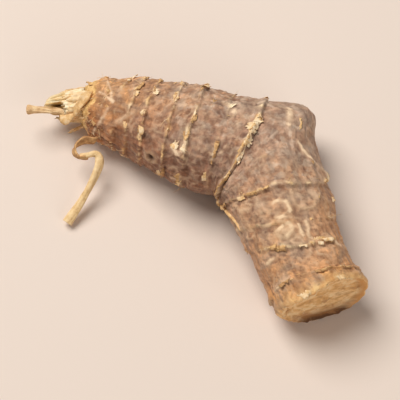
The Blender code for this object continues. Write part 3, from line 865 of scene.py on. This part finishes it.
bark = bark_material()
sawn = sawn_material()
core = core_material()
scale = shaded_material("torn_scale", (0.42, 0.21, 0.085), (0.82, 0.52, 0.23), (1.0, 0.81, 0.55), 0.8)
fibre = shaded_material("fibre", (0.46, 0.24, 0.09), (0.84, 0.57, 0.28), (0.99, 0.85, 0.59), 0.9)
straw = shaded_material("straw", (0.50, 0.29, 0.11), (0.80, 0.55, 0.27), (0.94, 0.72, 0.42), 0.9)
twig = shaded_material("twig", (0.36, 0.19, 0.09), (0.72, 0.45, 0.22), (0.96, 0.72, 0.42), 0.9)
dark_root = shaded_material("dark_root", (0.12, 0.07, 0.045), (0.24, 0.15, 0.10), (0.42, 0.29, 0.19), 0.8)

along_rows, spread_rows, kind_rows = fine_rows()
bark_rows = np.flatnonzero(kind_rows == BARK_KIND)
skin_turns = np.linspace(0, 2 * math.pi, SIDES, endpoint=False)
along_grid, turn_grid = np.meshgrid(along_rows, skin_turns, indexing="ij")
spread_grid = np.broadcast_to(spread_rows[:, None], along_grid.shape)
points, outward, attributes = skin(along_grid, turn_grid, spread_grid)
skin_piece = make_object(
    "rhizome_skin", joined_ends(points), capped_faces(len(along_rows), SIDES), [bark, sawn, core],
    {key: joined_ends(values) for key, values in attributes.items()}, np.repeat(kind_rows[1:], SIDES),
)
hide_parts("rhizome")

to_end = unit(np.gradient(points, axis=0))
round_it = unit(np.roll(points, -1, axis=1) - np.roll(points, 1, axis=1))
normals = unit(np.cross(round_it, to_end))
normals *= np.sign((normals * outward).sum(-1, keepdims=True))


def row_at(distance):
    return bark_rows[np.clip(np.searchsorted(along_rows[bark_rows], distance), 1, len(bark_rows) - 2)]


def on_skin(along, turn):
    """(points, normals) of the fine bark at distances and angles."""
    row = np.interp(along, along_rows[bark_rows], bark_rows)
    side = turn / (2 * math.pi) * SIDES
    low, left = np.minimum(row.astype(int), bark_rows[-1] - 1), np.floor(side).astype(int)
    down, right = (row - low)[..., None], (side - left)[..., None]
    left, after = left % SIDES, (left + 1) % SIDES
    return tuple(
        (1 - down) * ((1 - right) * values[low, left] + right * values[low, after])
        + down * ((1 - right) * values[low + 1, left] + right * values[low + 1, after])
        for values in (points, normals)
    )


def add_flake(heap, along, degrees, breadth, length, heading, lift, shade):
    """One thin torn scale that hugs the bark, with its root in the bark and a ragged, lifted end."""
    steps, sides = np.meshgrid(np.linspace(0, 1, 6), np.linspace(-1, 1, 9), indexing="ij")
    seed = (7.3 * along + 1.7 * degrees) % 99
    noisy = noise_at(seed, (1.0 + breadth) * sides, 0.7 * steps, 0.5)
    fine = noise_at(seed, (3.0 + 2 * breadth) * sides, 0.3 * steps, 9.5)
    reach = length * steps * (1 - 0.3 * sides**2 + 0.7 * noisy + 0.3 * fine)
    aside = breadth / 2 * sides * (1 - 0.35 * steps + 0.5 * noisy * steps)
    turned = math.radians(heading)
    ahead = math.cos(turned) * reach - math.sin(turned) * aside
    around = math.sin(turned) * reach + math.cos(turned) * aside
    foot, up = on_skin(np.clip(along + ahead, 0.15, LENGTH - 0.3), math.radians(degrees) + around / RADIUS)
    height = -0.05 + length * lift * steps**1.4 + 0.10 * steps + 0.22 * breadth * noisy * steps
    grid = foot + np.maximum(height, -0.05 + 0.08 * steps)[..., None] * up
    past_face = np.minimum(along + ahead - 0.15, 0)
    grid += past_face[..., None] * START_DIRECTION
    grid[..., 2] = np.maximum(grid[..., 2], 0.05)
    heap.sheet(grid, 0.06, shade)


def add_flakes(heap):
    """Papery remains of the scales lie along the rings, round both ends and here and there between."""
    chance = random.Random(7)
    pick = chance.uniform
    for flake in FLAKES:
        add_flake(heap, *flake)
    for number, (place, strength) in enumerate(RINGS):
        for _ in range(int(RING_FLAKES * strength)):
            turn = np.array(pick(0, 2 * math.pi))
            if presence(number, turn) < 0.3 + pick(-0.2, 0.3):
                continue
            size = pick(0.3, 0.9)
            breadth = size * pick(1.4, 3.2)
            heading = (180 if chance.random() < 0.8 else 0) + pick(-20, 20)
            along, degrees = place + float(jag(number, turn)) + 0.25, math.degrees(turn)
            lift, shade = pick(0.05, 0.4), pick(0.1, 0.75)
            add_flake(heap, along, degrees, breadth, size * 0.6, heading, lift, shade)
    for _ in range(STRAY_FLAKES):
        along = chance.choice((pick(2, 50), pick(48.0, 51.8)))
        size, degrees = pick(0.25, 0.65), pick(0, 360)
        breadth, heading = size * pick(0.8, 2.0), pick(0, 360)
        lift, shade = pick(0.05, 0.35), pick(0.1, 0.7)
        add_flake(heap, along, degrees, breadth, size * 0.8, heading, lift, shade)


def add_cord(heap):
    """The cord of sheath, which thins out at both ends."""
    steps = np.linspace(0, len(CORD) - 1, 60)
    line = read_table(np.array(CORD, float), steps)
    foot, up = on_skin(line[:, 0], np.radians(line[:, 1]))
    wavy = 0.12 * smooth_noise(foot / 0.8, 240)
    radii = CORD_RADIUS * np.interp(steps / steps[-1], (0, 0.1, 0.8, 1), (0.5, 1, 0.9, 0.3)) + 0.3 * wavy
    heap.tube(foot + (0.02 + wavy)[:, None] * up, radii, 9, 0.5)


def add_hairs(heap):
    """Loose fibres on the rings and both ends."""
    chance = random.Random(8)
    pick = chance.uniform
    steps = np.linspace(0, 1, 7)[:, None]
    for _ in range(HAIRS):
        place = chance.choice(RINGS)[0]
        if place < 3 or chance.random() < 0.3:
            place = pick(49.0, 51.5)
        row, side = row_at(place + pick(-0.4, 0.4)), chance.randrange(SIDES)
        up, on, across = normals[row, side], to_end[row, side], round_it[row, side]
        length = pick(0.5, 1.9)
        heading = unit(up * pick(0.1, 0.6) + on * pick(-0.7, 1.0) + across * pick(-1.2, 1.2))
        curl = unit(across * pick(-1, 1) - up * pick(0.1, 0.6)) * pick(0.3, 1.0)
        route = points[row, side] - 0.08 * up + length * (steps * heading + steps**2 * curl)
        route[:, 2] = np.maximum(route[:, 2], 0.06)
        heap.tube(route, np.linspace(0.045, 0.015, 7), 5, pick(0.1, 0.8))


def core_reach(away, spread):
    """Share of the section's size at distances past the torn end, no more than spread."""
    return np.minimum(np.interp(away, *np.array(TORN_ROWS[2:]).T), spread)


def in_core(away, turn, reach):
    """Points of the leaning core at distances past the torn end."""
    places = section(LENGTH + away, turn, reach)[0]
    places[..., 1] += CORE_LEAN * np.clip(away / CORE_LENGTH, 0, 1.1)
    return places


def by_hollow(degrees):
    """The torn layers are short on the side of the dark hollow."""
    return 92 < degrees < 205


def add_core_slabs(heap):
    """Torn layers of the core, cream on top and golden at its sides; the top ones are lighter partly by their
    own colour and partly as a painted highlight.
    """
    pick = random.Random(9).uniform
    steps, sides = np.meshgrid(np.linspace(0, 1, 14), np.linspace(-1, 1, 9), indexing="ij")
    for number in range(CORE_SLABS):
        degrees = 360 * (number * GOLDEN_SHARE) % 360
        start, length = pick(-0.7, 1.2), pick(2.2, 4.6)
        if by_hollow(degrees):
            length = min(length, 3.2 - start)
        width, spread = pick(1.4, 3.0), pick(0.56, 0.80)
        seed = pick(0, 99)
        ragged = noise_at(seed, 2.2 * sides, 0.3 * steps, 0.5)
        wavy = noise_at(seed, 1.2 * sides, length * steps / 1.6, 4.5)
        away = start + length * steps * (1 + 0.35 * ragged)
        reach = core_reach(away, spread) + 0.07 * wavy + pick(-0.02, 0.10) * steps**2
        around = math.radians(degrees) + sides * width / 2 * (1 - 0.45 * steps) / (RADIUS * 0.6)
        # Layers on top are lighter: partly their own colour, partly a painted highlight.
        shade = pick(0.75, 1.05) if 40 < degrees < 140 else pick(0.25, 0.7)
        heap.sheet(in_core(away, around, reach), pick(0.3, 0.6), shade)


def add_core_strands(heap):
    """Torn fibres, from splinters to threads, lie along the core and stand out of its end."""
    pick = random.Random(10).uniform
    steps = np.linspace(0, 1, 11)
    for number in range(CORE_STRANDS):
        thick = pick(0.22, 0.42) if number < 16 else pick(0.07, 0.13)
        degrees = 360 * (number * GOLDEN_SHARE) % 360
        spread = pick(0.25, 0.74)
        start = pick(-0.5, 2.2)
        length = pick(1.6, 2.6) if by_hollow(degrees) else pick(2.0, 4.6)
        away = start + length * steps
        reach = core_reach(away, spread) + pick(0.0, 0.14) * steps**2
        route = in_core(away, np.full(11, math.radians(degrees)), reach)
        route[:, 1] += pick(-0.4, 0.4) * np.sin(steps * math.pi * pick(0.6, 1.6))
        route[:, 2] += pick(-0.3, 0.3) * steps**2
        knots = noise_at(pick(0, 99), 3.0 * steps, 0.5)
        radii = thick * np.interp(steps, (0, 0.75, 1), (1, 0.75, 0.22)) * (1 + 0.5 * knots)
        heap.tube(route, radii, 8, pick(0.4, 1.0))


def add_splinter_fibres(heap):
    """Torn fibres along the splinter, which end raggedly round its tip."""
    pick = random.Random(12).uniform
    steps = np.linspace(0, 1, 12)
    for number in range(SPLINTER_FIBRES):
        start, end = pick(0.8, 1.6), pick(2.1, 3.0)
        route = read_table(np.array(SPLINTER_ROUTE), start + (end - start) * steps)
        reach = 0.40 + pick(0.05, 0.5) * steps**3
        turn = 2 * math.pi * number * GOLDEN_SHARE + pick(-0.9, 0.9) * steps
        route[:, 1] += reach * np.cos(turn)
        route[:, 2] += reach * np.sin(turn)
        radii = pick(0.07, 0.14) * np.interp(steps, (0, 0.2, 0.7, 1), (0.4, 1, 0.9, 0.3))
        heap.tube(route, radii, 7, pick(0.3, 0.9))


def add_flaps(heap):
    """Curled torn scales round the core, where the solid has flat cones."""
    pick = random.Random(11).uniform
    steps, sides = np.linspace(0, 1, 15), np.linspace(-1, 1, 13)
    for degrees, length, width, slant in FLAPS:
        foot, away = surface_point(LENGTH, degrees)
        heading = unit(END_DIRECTION + slant * away)
        across = unit(np.cross(heading, away))
        lift = np.cross(across, heading)
        seed = degrees / 10
        ends = 1 - 0.30 * abs(sides) ** 1.5 + 0.45 * noise_at(seed, 2.6 * sides, 0.5)
        span = (length - FLAP_SUNK) * ends
        wide = width / 2 * (1.1 - 0.5 * steps**1.5)
        grid = np.empty((15, 13, 3))
        for row, step in enumerate(steps):
            wavy = noise_at(2.1 * step * length, 1.7 * sides, seed)
            bend = 0.16 * length * step**2 * math.sin(seed) + 0.28 * wavy * step
            bend -= 0.35 * sides**2 * wide[row] / 2
            grid[row] = foot - FLAP_INSET * away + (span * step - FLAP_START)[:, None] * heading
            grid[row] += (sides * wide[row])[:, None] * across + bend[:, None] * lift
        heap.sheet(grid, 0.22, pick(0.25, 0.8))


def add_ribbon(heap, route, directions, widths, thickness, shade):
    """A wavy strip of bark through the route's points, with a direction across it for each of them."""
    steps = np.linspace(0, len(route) - 1, 6 * len(route))
    middle = read_table(np.array(route, float), steps)
    across = unit(read_table(np.array(directions, float), steps))
    half = np.interp(steps, np.linspace(0, len(route) - 1, len(widths)), widths) / 2
    places = np.linspace(-1, 1, 9)
    grid = middle[:, None] + (half[:, None] * places)[..., None] * across[:, None]
    wavy = smooth_noise(grid / 1.1, 220.5)
    lift = unit(np.cross(across, unit(np.gradient(middle, axis=0))))
    grid += (0.22 * wavy - 0.18 * places**2)[..., None] * lift[:, None]
    grid += (0.30 * wavy * places**2)[..., None] * across[:, None]
    heap.sheet(grid, thickness, shade)


def add_ribbons(heap):
    add_ribbon(heap, GOLDEN_ROUTE, GOLDEN_ACROSS, GOLDEN_WIDTHS, 0.25, 0.5)
    add_ribbon(heap, CURL_ROUTE, CURL_ACROSS, CURL_WIDTHS, 0.34, 0.12)


def rough_tube(name, route, radii, sides, seed, material, grooves, shade, flatness=0.0):
    """One piece: a wrinkled root through the route's points, round or flattened and twisting."""
    count = len(radii)
    route = read_table(np.array(route), np.linspace(0, len(route) - 1, count))
    around = np.linspace(0, 2 * math.pi, sides, endpoint=False)
    length = np.linalg.norm(np.diff(route, axis=0), axis=1).sum()
    onward = length * np.linspace(0, 1, count)[:, None]
    coordinates = np.broadcast_arrays(2.3 * np.cos(around)[None], 2.3 * np.sin(around)[None], onward / 3.2)
    place = np.stack(coordinates, -1)
    relief = grooves * (0.4 - 1.6 * abs(smooth_noise(place, seed)))
    relief += 0.10 * smooth_noise(place * 0.6, seed + 5)
    twist = onward / 2.5 + 0.8 * smooth_noise(place[:, :1] * 0.4, seed + 9)
    grid = tube_grid(route, radii, sides, relief + flatness * np.cos(2 * (around + twist)))
    grid[..., 2] = np.maximum(grid[..., 2], 0.02)
    # The piece's own tone, with painted shade in the grooves and a painted highlight on the ridges.
    dark = shade + 1.2 * relief
    shades = {"shade": joined_ends(np.concatenate([dark[:1], dark, dark[-1:]]))}
    make_object(name, joined_ends(grid), capped_faces(len(grid), sides), [material], shades)


for name, material, builders in (
    ("ring_flakes", scale, (add_flakes, add_cord)),
    ("loose_hairs", fibre, (add_hairs,)),
    ("core_fibres", fibre, (add_core_slabs, add_core_strands)),
    ("splinter_fibres", twig, (add_splinter_fibres,)),
    ("torn_scales", scale, (add_flaps, add_ribbons)),
):
    heap = Heap()
    for build in builders:
        build(heap)
    heap.piece(name, material)

root_radii = np.interp(np.linspace(0, 1, 120), (0, 0.12, 0.3, 0.6, 1), (0.35, 0.45, 0.52, 0.58, 0.60))
rough_tube("dead_root", DEAD_ROOT_ROUTE, root_radii, 32, 61, straw, 0.20, 0.6, 0.20)
splinter_radii = np.interp(
    np.linspace(0, 1, 60), (0, 0.3, 0.6, 0.8, 0.92, 0.97, 1), (0.42, 0.54, 0.42, 0.50, 0.70, 0.60, 0.25)
)
rough_tube("splinter", SPLINTER_ROUTE, splinter_radii, 28, 63, twig, 0.26, 0.6)
for number, (along, degrees, length, radius, lean) in enumerate(ROOT_STUBS):
    foot, away = surface_point(along, degrees)
    onward = unit(surface_point(along + 1.0, degrees)[0] - surface_point(along - 1.0, degrees)[0])
    route = (foot - 1.5 * away, foot + length / 3 * away, foot + length * (away + lean * onward))
    stub_radii = radius * np.interp(np.linspace(0, 1, 30), (0, 0.4, 0.5, 1), (1.25, 1.1, 0.95, 0.8))
    rough_tube(f"root_stub_{number}", route, stub_radii, 22, 70 + number, dark_root, 0.2, 0.5)

# The floor, the camera at the photograph's angle, and soft light.
floor_mesh = bpy.data.meshes.new("floor")
floor_mesh.from_pydata([(-2, -2, 0), (2, -2, 0), (2, 2, 0), (-2, 2, 0)], [], [(0, 1, 2, 3)])
floor = add_object("floor", floor_mesh)
floor_material = bpy.data.materials.new("paper")
floor_material.use_nodes = True
floor_look = floor_material.node_tree.nodes["Principled BSDF"].inputs
floor_look["Base Color"].default_value = (0.80, 0.69, 0.605, 1)
floor_look["Roughness"].default_value = 0.9
floor_look["Specular IOR Level"].default_value = 0.1
floor_mesh.materials.append(floor_material)

ELEVATION = math.radians(66)
DISTANCE, SPAN = 235 * MM, 59 * MM  # of the camera from its target, and what it sees across there
target = Vector((0.9, -1.5, 6.5)) * MM
camera = add_object("camera", bpy.data.cameras.new("camera"))
camera.data.sensor_width = 36
camera.data.lens = camera.data.sensor_width * DISTANCE / SPAN
camera.location = target + DISTANCE * Vector((0, -math.cos(ELEVATION), math.sin(ELEVATION)))
camera.rotation_euler = (math.pi / 2 - ELEVATION, 0, 0)
bpy.context.scene.camera = camera


def add_light(name, place, size, power, colour):
    """A round lamp that points at the camera's target. Place and size are in metres."""
    light = bpy.data.lights.new(name, "AREA")
    light.shape = "DISK"
    light.size = size
    light.energy = power
    light.color = colour
    lamp = add_object(name, light)
    lamp.location = place
    lamp.rotation_euler = (target - lamp.location).to_track_quat("-Z", "Y").to_euler()


add_light("key", (-0.22, 0.20, 0.52), 0.38, 3.5, (1.0, 0.97, 0.94))
add_light("fill", (0.36, -0.46, 0.30), 0.50, 1.1, (1.0, 0.96, 0.93))
world = bpy.data.worlds.new("studio")
world.use_nodes = True
background = world.node_tree.nodes["Background"].inputs
background["Color"].default_value = (1.0, 0.96, 0.92, 1)
background["Strength"].default_value = 0.18
bpy.context.scene.world = world
bpy.context.scene.view_settings.view_transform = "Standard"
